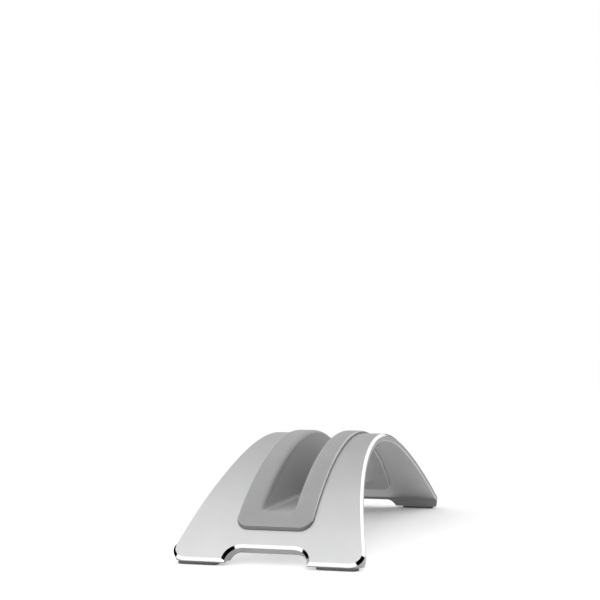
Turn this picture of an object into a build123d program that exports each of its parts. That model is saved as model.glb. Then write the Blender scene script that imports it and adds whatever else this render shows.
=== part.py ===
"""Vertical notebook stand: a bent aluminium arch with a silicone cradle in its slot, on four rubber feet.

Frame: millimetres, +Z up, X across the stand, Y along the notebook, front at -Y.
Origin: middle of the stand, on the surface that its foot pads rest on.
"""
import os
from math import asin, cos, sin, tan

from build123d import *

# ---- Arch: an even plate bent to one radius about an axis along X, with every edge square to it ----
ARCH_HEIGHT = 54.0  # top of the plate at mid-depth
ARCH_RADIUS = 171.0  # outer face of the bend
PLATE_THICKNESS = 4.0
HALF_DEPTH = 122.0  # mid-depth to the ends of the feet, along the floor
WAIST_HALF_WIDTH = 31.5  # at mid-depth
QUARTER_HALF_WIDTH = 34.5  # at half of the half-depth
FOOT_HALF_WIDTH = 46.8  # at the ends
FOOT_SIDE_FLARE = 0.28  # how far the side leans out per unit of depth, at the ends
FOOT_CORNER_RADIUS = 6.5
BEVEL = 1.3  # bright bevel round the outer face, the same along the face and into the edge
BEVEL_ANGLE = 45
UNDER_EDGE_BREAK = 0.4  # small flat round the inner face
SPARE = 10.0  # how far construction solids run past what they are cut to

# ---- Notch between the two feet at each end ----
NOTCH_HALF_WIDTH = 19.4
NOTCH_DEPTH = 6.0  # seen from above
NOTCH_CORNER_RADIUS = 7.5

# ---- Feet: the plate's ends, thickened to a flat bottom ----
FOOT_INNER_Y = 112.5  # inner upright face of each foot
FOOT_INNER_EDGE_RADIUS = 2.2  # upright edges at that face
FOOT_SETBACK = 1.4  # of the thickening from the notch's wall
FOOT_BOTTOM_Z = 1.3
FOOT_TOP_Z = 7.0  # hidden inside the plate

# ---- Foot pads and the film that holds them ----
PAD_THICKNESS = 1.1
PAD_INNER_X = 23.2
PAD_OUTER_X = 42.4
PAD_INNER_Y = 113.3
PAD_OUTER_Y = 120.2
PAD_CORNER_RADIUS = 2.4
PAD_EDGE_RADIUS = 0.3
FILM_INSET = 0.4  # film edge inside the pad edge

# ---- Slot in the plate, and the cradle that fills it ----
SLOT_HALF_WIDTH = 17.3
SLOT_HALF_LENGTH = 104.6
SLOT_CORNER_RADIUS = 5.2
SLOT_CLEARANCE = 0.2  # all round the cradle
RIM_HALF_WIDTH = 18.5
RIM_HALF_LENGTH = 108.5
RIM_CORNER_RADIUS = 6.2
RIM_GAP = 0.25  # between the rim and the plate under it
RIM_HEIGHT = 1.5  # top of the rim above the plate
RIM_EDGE_RADIUS = 1.1
CRADLE_UNDERHANG = 1.3  # cradle below the plate's underside
UNDERHANG_EDGE_RADIUS = 0.6
CHANNEL_HALF_WIDTH = 7.65  # for a notebook about 15 mm thick
CHANNEL_FLOOR_Z = 22.4
CHANNEL_FLOOR_THICKNESS = 3.0
CHANNEL_WALL = 2.7
CHANNEL_MOUTH_RADIUS = 2.6
CHANNEL_FLOOR_RADIUS = 2.0
TROUGH_CORNER_RADIUS = 5.0
TROUGH_BLEND_RADIUS = 4.5  # where the trough runs into the cradle's underside

ARCH_CENTRE_Z = ARCH_HEIGHT - ARCH_RADIUS
INNER_RADIUS = ARCH_RADIUS - PLATE_THICKNESS
END_SLOPE = asin(HALF_DEPTH / ARCH_RADIUS)  # of the plate at the ends of the feet
TALL = 200.0  # taller and wider than anything here
TOLERANCE = 0.01


def across(sketch):
    """A solid that has the sketch, drawn in the YZ plane, as its section all the way across X."""
    return extrude(sketch, TALL / 2, both=True)


def upright(sketch, low=-TALL, high=TALL):
    """A solid that has the sketch, drawn in plan, as its outline between two heights."""
    return extrude(Pos(0, 0, low) * sketch, high - low)


def ring_section(outer, inner):
    """The part above the floor of a ring about the bend's axis, as a section in the YZ plane."""
    middle = Plane.YZ * Pos(0, ARCH_CENTRE_Z)
    above_floor = Plane.YZ * Pos(0, TALL / 2 - SPARE) * Rectangle(2 * TALL, TALL)
    return (middle * Circle(outer) - middle * Circle(inner)) & above_floor


def rounded_plan(half_x, half_y, radius):
    return RectangleRounded(2 * half_x, 2 * half_y, radius)


def flat_outline():
    """Pattern of the arch's outline before its notches are cut: an hourglass with rounded corners.

    Its Y follows the tangent of the plate's slope, scaled so that the corners are round on the plate.
    """

    def pattern_y(depth):
        return ARCH_RADIUS * tan(asin(depth / ARCH_RADIUS)) * cos(END_SLOPE) ** 2

    end_y = pattern_y(HALF_DEPTH)
    quarter_y = pattern_y(HALF_DEPTH / 2)
    side_points = [
        (FOOT_HALF_WIDTH, -end_y),
        (QUARTER_HALF_WIDTH, -quarter_y),
        (WAIST_HALF_WIDTH, 0),
        (QUARTER_HALF_WIDTH, quarter_y),
        (FOOT_HALF_WIDTH, end_y),
    ]
    lean = FOOT_SIDE_FLARE * cos(END_SLOPE)
    right = Spline(*side_points, tangents=[(-lean, 1), (lean, 1)])
    left = mirror(right, Plane.YZ)
    front = Line(left @ 0, right @ 0)
    back = Line(left @ 1, right @ 1)
    outline = make_face([right, back, left, front])
    return fillet(outline.vertices(), FOOT_CORNER_RADIUS)


def outline_at(height):
    """The arch's outline where a level plane cuts its walls, which all point at the bend's axis."""
    stretch = (height - ARCH_CENTRE_Z) / ARCH_RADIUS / cos(END_SLOPE) ** 2
    place = Matrix([[1, 0, 0, 0], [0, stretch, 0, 0], [0, 0, 1, height], [0, 0, 0, 1]])
    return flat_outline().face().transform_geometry(place)


def outline_walls():
    """A solid bounded by the arch's walls, from below the floor to above the arch."""
    low = outline_at(-SPARE).outer_wire()
    high = outline_at(ARCH_HEIGHT + SPARE).outer_wire()
    return Solid.make_loft([low, high], ruled=True)


def foot_block(end, walls):
    """The thickening under both feet at one end, with its inner upright edges rounded."""
    depth = HALF_DEPTH + SPARE - FOOT_INNER_Y
    height = FOOT_TOP_Z - FOOT_BOTTOM_Z
    place = Plane.YZ * Pos(end * (FOOT_INNER_Y + depth / 2), FOOT_BOTTOM_Z + height / 2)
    block = across(place * Rectangle(depth, height)) & walls
    inner_edges = block.faces().sort_by(Axis.Y)[0 if end > 0 else -1].edges()
    upright_edges = inner_edges.filter_by(lambda edge: abs(edge.tangent_at(0).Z) > abs(edge.tangent_at(0).X))
    block = fillet(upright_edges, FOOT_INNER_EDGE_RADIUS)
    block -= notch_through(end, FOOT_SETBACK)[0]
    under_bevel = Circle(ARCH_RADIUS - PLATE_THICKNESS / 2)
    return block & across(Plane.YZ * Pos(0, ARCH_CENTRE_Z) * under_bevel)


def bend_face(solid, radius):
    """The solid's face that lies on the bend's cylinder of this radius."""
    round_faces = solid.faces().filter_by(GeomType.CYLINDER)
    return round_faces.filter_by(lambda face: abs(face.radius - radius) < TOLERANCE)[0]


def notch_through(end, extra=0.0):
    """What the notch between two feet takes away, square to the plate, with its plane and its outline."""
    top_y = HALF_DEPTH - NOTCH_DEPTH
    middle_y = HALF_DEPTH - NOTCH_DEPTH / 2
    slope = asin(middle_y / ARCH_RADIUS)
    middle_z = ARCH_CENTRE_Z + ARCH_RADIUS * cos(slope)
    on_plate = Plane(
        origin=(0, end * middle_y, middle_z),
        x_dir=(-end, 0, 0),
        z_dir=(0, end * sin(slope), cos(slope)),
    )
    reach = (middle_y - top_y) / cos(slope)  # from the plane's origin up the slope to the notch's top
    depth = reach + 2 * SPARE
    outline = Pos(0, reach - depth / 2) * Rectangle(2 * (NOTCH_HALF_WIDTH + extra), depth)
    top_corners = outline.vertices().filter_by(lambda corner: corner.Y > 0)
    outline = fillet(top_corners, NOTCH_CORNER_RADIUS)
    return extrude(on_plate * outline, 2 * SPARE, both=True), on_plate, outline


def notch_mouth(end):
    """The bevel round the notch's mouth."""
    _, on_plate, outline = notch_through(end)
    return extrude(on_plate * Pos(0, 0, -BEVEL) * outline, 2 * BEVEL, taper=-BEVEL_ANGLE)


def arch_body():
    walls = outline_walls()
    plate = across(ring_section(ARCH_RADIUS, INNER_RADIUS)) & walls
    plate &= upright(Rectangle(TALL, 2 * TALL), low=FOOT_BOTTOM_Z)
    plate = plate.chamfer(BEVEL, None, bend_face(plate, ARCH_RADIUS).edges())
    sides = bend_face(plate, INNER_RADIUS).edges().filter_by(lambda edge: edge.length > HALF_DEPTH)
    plate = plate.chamfer(UNDER_EDGE_BREAK, None, sides)
    plate -= upright(rounded_plan(SLOT_HALF_WIDTH, SLOT_HALF_LENGTH, SLOT_CORNER_RADIUS))
    for end in (-1, 1):
        plate += foot_block(end, walls)
        plate -= notch_through(end)[0]
        plate -= notch_mouth(end)
    return plate


def cradle_insert():
    rim = across(ring_section(ARCH_RADIUS + RIM_HEIGHT, ARCH_RADIUS + RIM_GAP))
    rim &= upright(rounded_plan(RIM_HALF_WIDTH, RIM_HALF_LENGTH, RIM_CORNER_RADIUS), low=0)
    rim = fillet(bend_face(rim, ARCH_RADIUS + RIM_HEIGHT).edges(), RIM_EDGE_RADIUS)

    plug_plan = rounded_plan(
        SLOT_HALF_WIDTH - SLOT_CLEARANCE,
        SLOT_HALF_LENGTH - SLOT_CLEARANCE,
        SLOT_CORNER_RADIUS - SLOT_CLEARANCE,
    )
    under_radius = INNER_RADIUS - CRADLE_UNDERHANG
    plug = across(ring_section(ARCH_RADIUS + RIM_HEIGHT / 2, under_radius))
    plug &= upright(plug_plan, low=0)
    plug = fillet(bend_face(plug, under_radius).edges(), UNDERHANG_EDGE_RADIUS)

    trough_half_width = CHANNEL_HALF_WIDTH + CHANNEL_WALL
    trough_bottom = CHANNEL_FLOOR_Z - CHANNEL_FLOOR_THICKNESS
    trough = Pos(0, 0, trough_bottom + TALL / 2) * Box(2 * trough_half_width, TALL * 2, TALL)
    trough = fillet(trough.edges().filter_by(Axis.Y).sort_by(Axis.Z)[:2], TROUGH_CORNER_RADIUS)
    trough &= across(Plane.YZ * Pos(0, ARCH_CENTRE_Z) * Circle(under_radius + PLATE_THICKNESS / 2))
    hull = plug + trough
    trough_outline = bend_face(hull, under_radius).inner_wires()[0]
    hull = fillet(trough_outline.edges(), TROUGH_BLEND_RADIUS)

    channel = Pos(0, 0, CHANNEL_FLOOR_Z + TALL / 2) * Box(2 * CHANNEL_HALF_WIDTH, TALL * 2, TALL)
    channel = fillet(channel.edges().filter_by(Axis.Y).sort_by(Axis.Z)[:2], CHANNEL_FLOOR_RADIUS)
    cradle = rim + hull - channel
    mouth = bend_face(cradle, ARCH_RADIUS + RIM_HEIGHT).edges()
    mouth = mouth.filter_by(lambda edge: abs(abs(edge.center().X) - CHANNEL_HALF_WIDTH) < TOLERANCE)
    return fillet(mouth, CHANNEL_MOUTH_RADIUS)


def pad_plan(side, end, inset=0.0):
    """Plan of one foot pad, or of the film inside its outline."""
    width = PAD_OUTER_X - PAD_INNER_X - 2 * inset
    depth = PAD_OUTER_Y - PAD_INNER_Y - 2 * inset
    plan = RectangleRounded(width, depth, PAD_CORNER_RADIUS - inset)
    return Pos(side * (PAD_INNER_X + PAD_OUTER_X) / 2, end * (PAD_INNER_Y + PAD_OUTER_Y) / 2) * plan


def foot_pad(side, end):
    pad = upright(pad_plan(side, end), 0, PAD_THICKNESS)
    return fillet(pad.faces().sort_by(Axis.Z)[0].edges(), PAD_EDGE_RADIUS)


def pad_adhesive(side, end):
    return upright(pad_plan(side, end, FILM_INSET), PAD_THICKNESS, FOOT_BOTTOM_Z)


os.makedirs("parts", exist_ok=True)
export_step(arch_body(), "parts/arch_body.step")
export_step(cradle_insert(), "parts/cradle_insert.step")
for end_name, end in (("front", -1), ("back", 1)):
    for side_name, side in (("left", -1), ("right", 1)):
        export_step(foot_pad(side, end), f"parts/{end_name}_{side_name}_foot_pad.step")
        export_step(pad_adhesive(side, end), f"parts/{end_name}_{side_name}_pad_adhesive.step")
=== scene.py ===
"""Looks for the notebook stand: materials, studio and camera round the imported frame."""
import math

import bpy
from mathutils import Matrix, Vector

MM = 0.001
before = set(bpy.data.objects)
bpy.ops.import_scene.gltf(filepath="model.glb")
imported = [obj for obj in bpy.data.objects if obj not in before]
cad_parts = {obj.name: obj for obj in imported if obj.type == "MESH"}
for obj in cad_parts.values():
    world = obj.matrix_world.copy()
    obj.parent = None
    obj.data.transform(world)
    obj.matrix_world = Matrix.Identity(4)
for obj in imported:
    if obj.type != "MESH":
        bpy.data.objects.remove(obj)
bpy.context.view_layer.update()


# ---------------------------------------------------------------- node helpers
class Graph:
    """A material's node tree, with short calls for what the materials here use."""

    def __init__(self, name):
        self.material = bpy.data.materials.new(name)
        self.material.use_nodes = True
        self.tree = self.material.node_tree
        self.bsdf = self.tree.nodes["Principled BSDF"]
        self.place = self.add("ShaderNodeTexCoord").outputs["Object"]

    def add(self, kind, **settings):
        node = self.tree.nodes.new(kind)
        for key, value in settings.items():
            setattr(node, key, value)
        return node

    def link(self, source, target):
        self.tree.links.new(source, target)

    def noise(self, scale, detail=2.0, roughness=0.5, stretch=None):
        node = self.add("ShaderNodeTexNoise")
        node.inputs["Scale"].default_value = scale
        node.inputs["Detail"].default_value = detail
        node.inputs["Roughness"].default_value = roughness
        place = self.place
        if stretch:
            mapping = self.add("ShaderNodeMapping")
            mapping.inputs["Scale"].default_value = stretch
            self.link(place, mapping.inputs["Vector"])
            place = mapping.outputs["Vector"]
        self.link(place, node.inputs["Vector"])
        return node.outputs["Fac"]

    def ramp(self, value, low, high, low_at=0.0, high_at=1.0):
        """Maps a value from low_at to high_at to a number from low to high."""
        node = self.add("ShaderNodeMapRange")
        node.inputs["From Min"].default_value = low_at
        node.inputs["From Max"].default_value = high_at
        node.inputs["To Min"].default_value = low
        node.inputs["To Max"].default_value = high
        self.link(value, node.inputs["Value"])
        return node.outputs["Result"]

    def colours(self, value, low, high, low_at=0.3, high_at=0.7):
        """Maps a value from low_at to high_at to a colour between two colours."""
        node = self.add("ShaderNodeValToRGB")
        first, last = node.color_ramp.elements
        first.position, last.position = low_at, high_at
        first.color, last.color = (*low, 1), (*high, 1)
        self.link(value, node.inputs["Fac"])
        return node.outputs["Color"]

    def bump(self, height, distance, strength):
        node = self.add("ShaderNodeBump")
        node.inputs["Strength"].default_value = strength
        node.inputs["Distance"].default_value = distance
        self.link(height, node.inputs["Height"])
        return node.outputs["Normal"]

    def set(self, **values):
        for key, value in values.items():
            self.bsdf.inputs[key.replace("_", " ")].default_value = value

    def feed(self, **sources):
        for key, source in sources.items():
            self.link(source, self.bsdf.inputs[key.replace("_", " ")])


# ---------------------------------------------------------------- materials
ALUMINIUM = (0.565, 0.60)  # darker and lighter patches
SILICONE = (0.265, 0.285)
DARK_CAST = (1, 1.003, 1.008)  # a grey leans this little towards blue
LIGHT_CAST = (1, 1.002, 1.006)


def greys(levels, shade):
    """The two colours of a mottled grey, from its two levels times a shade."""
    dark, light = (level * shade for level in levels)
    return [dark * part for part in DARK_CAST], [light * part for part in LIGHT_CAST]


def blasted_aluminium(name="blasted_aluminium", shade=1.0):
    g = Graph(name)
    grain = g.noise(scale=5200, detail=3, roughness=0.6)
    cloud = g.noise(scale=45, detail=3, roughness=0.55)
    g.feed(
        Base_Color=g.colours(cloud, *greys(ALUMINIUM, shade)),
        Roughness=g.ramp(grain, low=0.36, high=0.48),
        Normal=g.bump(grain, distance=0.02 * MM, strength=0.6),
    )
    g.set(Metallic=1.0)
    return g.material


def cut_bevel():
    """Mirror-bright cut, with fine lines along the stand."""
    g = Graph("cut_bevel")
    lines = g.noise(scale=900, detail=2, stretch=(1, 0.05, 1))
    g.feed(
        Base_Color=g.colours(lines, low=(0.96, 0.961, 0.962), high=(0.99, 0.99, 0.99)),
        Roughness=g.ramp(lines, low=0.05, high=0.10),
    )
    g.set(Metallic=1.0)
    return g.material


def silicone(name="grey_silicone", shade=1.0):
    g = Graph(name)
    fine = g.noise(scale=3800, detail=2)
    soft = g.noise(scale=60, detail=3)
    g.feed(
        Base_Color=g.colours(soft, *greys(SILICONE, shade)),
        Roughness=g.ramp(fine, low=0.36, high=0.48),
        Normal=g.bump(fine, distance=0.03 * MM, strength=0.5),
    )
    g.set(Sheen_Weight=0.2, Sheen_Roughness=0.5)
    return g.material


def pad_rubber():
    g = Graph("pad_rubber")
    fine = g.noise(scale=2600, detail=3)
    g.feed(
        Base_Color=g.colours(fine, low=(0.075, 0.075, 0.077), high=(0.10, 0.10, 0.102)),
        Roughness=g.ramp(fine, low=0.65, high=0.8),
        Normal=g.bump(fine, distance=0.05 * MM, strength=0.6),
    )
    return g.material


def film():
    g = Graph("adhesive_film")
    fine = g.noise(scale=1500, detail=2)
    g.feed(
        Base_Color=g.colours(fine, low=(0.55, 0.54, 0.50), high=(0.62, 0.61, 0.57)),
        Roughness=g.ramp(fine, low=0.3, high=0.45),
    )
    return g.material


PAPER = (0.845, 0.85)  # darker and lighter patches
GLOW_EVERYWHERE = 0.06  # of the light table under the paper
SHADOW_LIFT_GLOW = 0.32  # what is added to it under the front of the stand: painted light that lifts the stand's shadow there
SHADOW_LIFT_STARTS = (-0.132, -0.112)  # depths in metres, where the added glow comes up
SHADOW_LIFT_FADES = (-0.110, 0.100)  # and where it fades towards the back


def floor_paper():
    """White paper on a light table that glows evenly, and glows more under the front of the stand
    as painted light that lifts the stand's shadow.
    """
    g = Graph("floor_paper")
    fine = g.noise(scale=30, detail=2)
    split = g.add("ShaderNodeSeparateXYZ")
    g.link(g.place, split.inputs[0])
    depth = split.outputs["Y"]
    start_from, start_to = SHADOW_LIFT_STARTS
    fade_from, fade_to = SHADOW_LIFT_FADES
    # painted light: extra glow under the front of the stand, lifting its shadow
    shadow_lift = g.add("ShaderNodeMath", operation="MULTIPLY")
    g.link(g.ramp(depth, 0.0, SHADOW_LIFT_GLOW, low_at=start_from, high_at=start_to), shadow_lift.inputs[0])
    g.link(g.ramp(depth, 1.0, 0.0, low_at=fade_from, high_at=fade_to), shadow_lift.inputs[1])
    total = g.add("ShaderNodeMath", operation="ADD")
    g.link(shadow_lift.outputs[0], total.inputs[0])
    total.inputs[1].default_value = GLOW_EVERYWHERE
    dark, light = PAPER
    g.feed(
        Base_Color=g.colours(fine, low=(dark, dark, dark), high=(light, light, light)),
        Emission_Strength=total.outputs[0],
    )
    g.set(Roughness=0.9, Emission_Color=(1, 1, 1, 1))
    return g.material


# ---------------------------------------------------------------- CAD nodes
ARCH_RADIUS = 171.0 * MM  # of the plate's upper face
ARCH_HEIGHT = 54.0 * MM
ARCH_CENTRE = Vector((0, 0, ARCH_HEIGHT - ARCH_RADIUS))

# Slots of the arch, and the tones of three of them: the plate's own colour times a number, which
# paints shade on the side walls and the feet's inner faces and paints light on the underside.
PLATE, BEVEL, SIDE_WALL, FOOT_INNER, ARCH_UNDERSIDE = range(5)
ARCH_PAINTED_TONES = {"side_wall_painted_shade": 0.6, "foot_inner_painted_shade": 0.32, "underside_painted_light": 1.14}
BEVEL_DEPTH = 1.4 * MM  # just more than the bevel's own
BEVEL_FACING = (0.5, 0.9)  # either side of its 45 degrees
PLATE_DEPTH = 4.03 * MM  # just more than the plate's thickness, so that only the feet are deeper
SOLE_NORMAL_Z = -0.9  # the soles face down more than this
INWARD_NORMAL_Y = -0.15  # the feet's inner faces lean at least this much towards the middle
WALL_FACING = 0.4  # side walls face along the radius less than this
UNDERSIDE_DEPTH = 3.5 * MM  # what is left and deeper than this is the underside

# Slots of the liner, and its tones in the same way: a painted highlight on its edges along the
# sides, painted shade at the foot of the rim's edge, and painted light on the rim's end edges and
# the underside.
LINER, LINER_EDGE, RIM_FOOT, LINER_UNDERSIDE = range(4)
LINER_PAINTED_TONES = {"silicone_painted_highlight": 1.75, "silicone_rim_painted_shade": 0.55, "silicone_painted_light": 1.2}
OUTER_SIDE_X = 14 * MM  # faces further out than this that face out are the liner's outer sides
OUTER_END_Y = 100 * MM  # and its outer ends
RIM_HEIGHT = 0.2 * MM  # the rim's edge is higher above the plate than this
HANGING_EDGE = (-5.4 * MM, -4 * MM)  # heights of what shows just below the plate
FLAT_FACING = 0.965  # a side face that faces along the radius less than this is on the edge
STEEP_FACING = 0.61  # and less than this, at the edge's foot
END_FLAT_Z = 0.7  # the same two limits for how far up an end face looks
END_STEEP_Z = 0.4


def dress(node, *materials):
    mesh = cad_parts[node].data
    mesh.materials.clear()
    for material in materials:
        mesh.materials.append(material)


def above_bend(face):
    """A face's height above the plate's upper face, and how squarely it faces along the radius."""
    out = face.center - ARCH_CENTRE
    out.x = 0
    return out.length - ARCH_RADIUS, abs(face.normal.dot(out.normalized()))


def arch_slot(face):
    """Polished bevel, side walls and inner faces of the feet darker with painted shade, underside
    slightly lighter with painted light.
    """
    height, facing = above_bend(face)
    depth = -height
    least, most = BEVEL_FACING
    if 0 < depth < BEVEL_DEPTH and least < facing < most:
        return BEVEL
    inward = face.normal.y * math.copysign(1, face.center.y) < INWARD_NORMAL_Y
    if depth > PLATE_DEPTH and face.normal.z > SOLE_NORMAL_Z and inward:
        return FOOT_INNER
    if facing < WALL_FACING:
        return SIDE_WALL
    return ARCH_UNDERSIDE if depth > UNDERSIDE_DEPTH else PLATE


def liner_slot(face):
    """Painted shade at the foot of the rim's edge, painted highlights on the edges along the sides,
    and painted light that makes the rest of the rim's end edges and the underside slightly lighter."""
    height, facing = above_bend(face)
    normal, centre = face.normal, face.center
    side = normal.x * centre.x > 0 and abs(centre.x) > OUTER_SIDE_X
    end = normal.y * centre.y > 0 and abs(centre.y) > OUTER_END_Y
    side_edge = side and facing < FLAT_FACING
    rim_edge = height > RIM_HEIGHT and (side_edge or end and normal.z < END_FLAT_Z)
    if rim_edge and (facing < STEEP_FACING or end and normal.z < END_STEEP_Z):
        return RIM_FOOT
    lowest, highest = HANGING_EDGE
    if side_edge and lowest < height < highest:
        return LINER_EDGE
    if rim_edge and abs(normal.x) > abs(normal.y):
        return LINER_EDGE
    return LINER_UNDERSIDE if rim_edge or height < highest else LINER


def assign_slots(node, slot_of):
    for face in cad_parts[node].data.polygons:
        face.material_index = slot_of(face)


# lit and shaded copies of the aluminium: painted shade on the walls and the feet's inner faces,
# painted light on the underside
arch_painted_tones = [blasted_aluminium(name, shade) for name, shade in ARCH_PAINTED_TONES.items()]
dress("arch_body", blasted_aluminium(), cut_bevel(), *arch_painted_tones)
assign_slots("arch_body", arch_slot)

# lit and shaded copies of the silicone: painted highlight, painted shade and painted light
liner_painted_tones = [silicone(name, shade) for name, shade in LINER_PAINTED_TONES.items()]
dress("cradle_insert", silicone(), *liner_painted_tones)
assign_slots("cradle_insert", liner_slot)

rubber = pad_rubber()
tape = film()
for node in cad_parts:
    if node.endswith("foot_pad"):
        dress(node, rubber)
    if node.endswith("adhesive"):
        dress(node, tape)


# ---------------------------------------------------------------- studio
FLOOR_SIZE = 8  # metres
BACKDROP = 1.0  # how bright the empty background is
TENT = 0.90  # brightness of the tent
TENT_BEHIND = -0.55  # added towards the back
TENT_FRONT = 0.25  # added towards the front
TENT_STEP = -0.12  # added behind the zenith, past a soft edge
STEP_AT = (-0.1, 0.3)  # where that edge starts and ends
TENT_LEFT = 1.2  # added towards the left
TENT_RIGHT = 0.75  # added towards the right, above the horizon
RIGHT_FROM = (-0.06, 0.06)  # where the right side starts
RIGHT_LOW = (0.08, 0.16)  # height where the right side starts, as a sine
DARK_CARDS = (  # middle of each card, and the cosines where it is all there and where it ends
    ((0.83, -0.48, 0.28), 0.88, 0.85),
    ((0.90, -0.05, 0.42), 0.975, 0.955),
    ((0.50, -0.86, 0.04), 0.970, 0.955),
    ((-1.00, -0.10, 0.06), 0.88, 0.855),
    ((-0.85, 0.48, 0.15), 0.95, 0.92),
)


def make_floor():
    bpy.ops.mesh.primitive_plane_add(size=FLOOR_SIZE)
    floor = bpy.context.object
    floor.name = "floor"
    floor.data.materials.append(floor_paper())


def make_world():
    """A white tent, dimmer at the back, with dark cards at its sides for the bevel's corners."""
    world = bpy.data.worlds.new("studio")
    bpy.context.scene.world = world
    world.use_nodes = True
    tree = world.node_tree
    link = tree.links.new

    def calculate(operation, first, second):
        node = tree.nodes.new("ShaderNodeMath")
        node.operation = operation
        for socket, value in zip(node.inputs, (first, second)):
            if isinstance(value, (int, float)):
                socket.default_value = value
            else:
                link(value, socket)
        return node.outputs[0]

    def soft_step(value, start, end, before, after):
        """Goes smoothly from before to after while value goes from start to end."""
        node = tree.nodes.new("ShaderNodeMapRange")
        node.interpolation_type = "SMOOTHSTEP"
        node.inputs["From Min"].default_value = start
        node.inputs["From Max"].default_value = end
        node.inputs["To Min"].default_value = before
        node.inputs["To Max"].default_value = after
        link(value, node.inputs["Value"])
        return node.outputs["Result"]

    way = tree.nodes.new("ShaderNodeTexCoord").outputs["Generated"]
    split = tree.nodes.new("ShaderNodeSeparateXYZ")
    link(way, split.inputs[0])
    x, y, z = split.outputs
    behind = calculate("MULTIPLY", calculate("MAXIMUM", y, 0.0), TENT_BEHIND)
    front = calculate("MULTIPLY", calculate("MINIMUM", y, 0.0), -TENT_FRONT)
    left = calculate("MULTIPLY", calculate("MINIMUM", x, 0.0), -TENT_LEFT)
    over = soft_step(y, *STEP_AT, TENT, TENT + TENT_STEP)
    right = calculate("MULTIPLY", soft_step(x, *RIGHT_FROM, 0.0, 1.0), TENT_RIGHT)
    right = calculate("MULTIPLY", right, soft_step(z, *RIGHT_LOW, 0.0, 1.0))
    level = calculate("ADD", calculate("ADD", behind, front), left)
    level = calculate("ADD", calculate("ADD", level, over), right)
    for middle, full, none in DARK_CARDS:
        dot = tree.nodes.new("ShaderNodeVectorMath")
        dot.operation = "DOT_PRODUCT"
        link(way, dot.inputs[0])
        dot.inputs[1].default_value = Vector(middle).normalized()
        level = calculate("MULTIPLY", level, soft_step(dot.outputs["Value"], none, full, 1.0, 0.0))
    seen = tree.nodes.new("ShaderNodeLightPath").outputs["Is Camera Ray"]
    plain_part = calculate("MULTIPLY", seen, BACKDROP)
    tent_part = calculate("MULTIPLY", calculate("SUBTRACT", 1.0, seen), level)
    background = tree.nodes["Background"]
    link(calculate("ADD", plain_part, tent_part), background.inputs["Strength"])
    background.inputs["Color"].default_value = (1, 1, 1, 1)


CAMERA_PLACE = (0.14664, -0.61613, 0.09108)  # metres
CAMERA_TURN = 0.257  # radians about the vertical
LENS = 68.64  # millimetres, on a sensor this wide
SENSOR = 36
SHIFT = 0.1104  # upwards: the camera is level, and the stand is low in its view


def make_camera():
    data = bpy.data.cameras.new("camera")
    data.sensor_width = SENSOR
    data.lens = LENS
    data.shift_y = SHIFT
    camera = bpy.data.objects.new("camera", data)
    bpy.context.scene.collection.objects.link(camera)
    camera.location = CAMERA_PLACE
    camera.rotation_euler = (math.radians(90), 0, CAMERA_TURN)
    bpy.context.scene.camera = camera


make_floor()
make_world()
make_camera()
bpy.context.scene.view_settings.view_transform = "Standard"
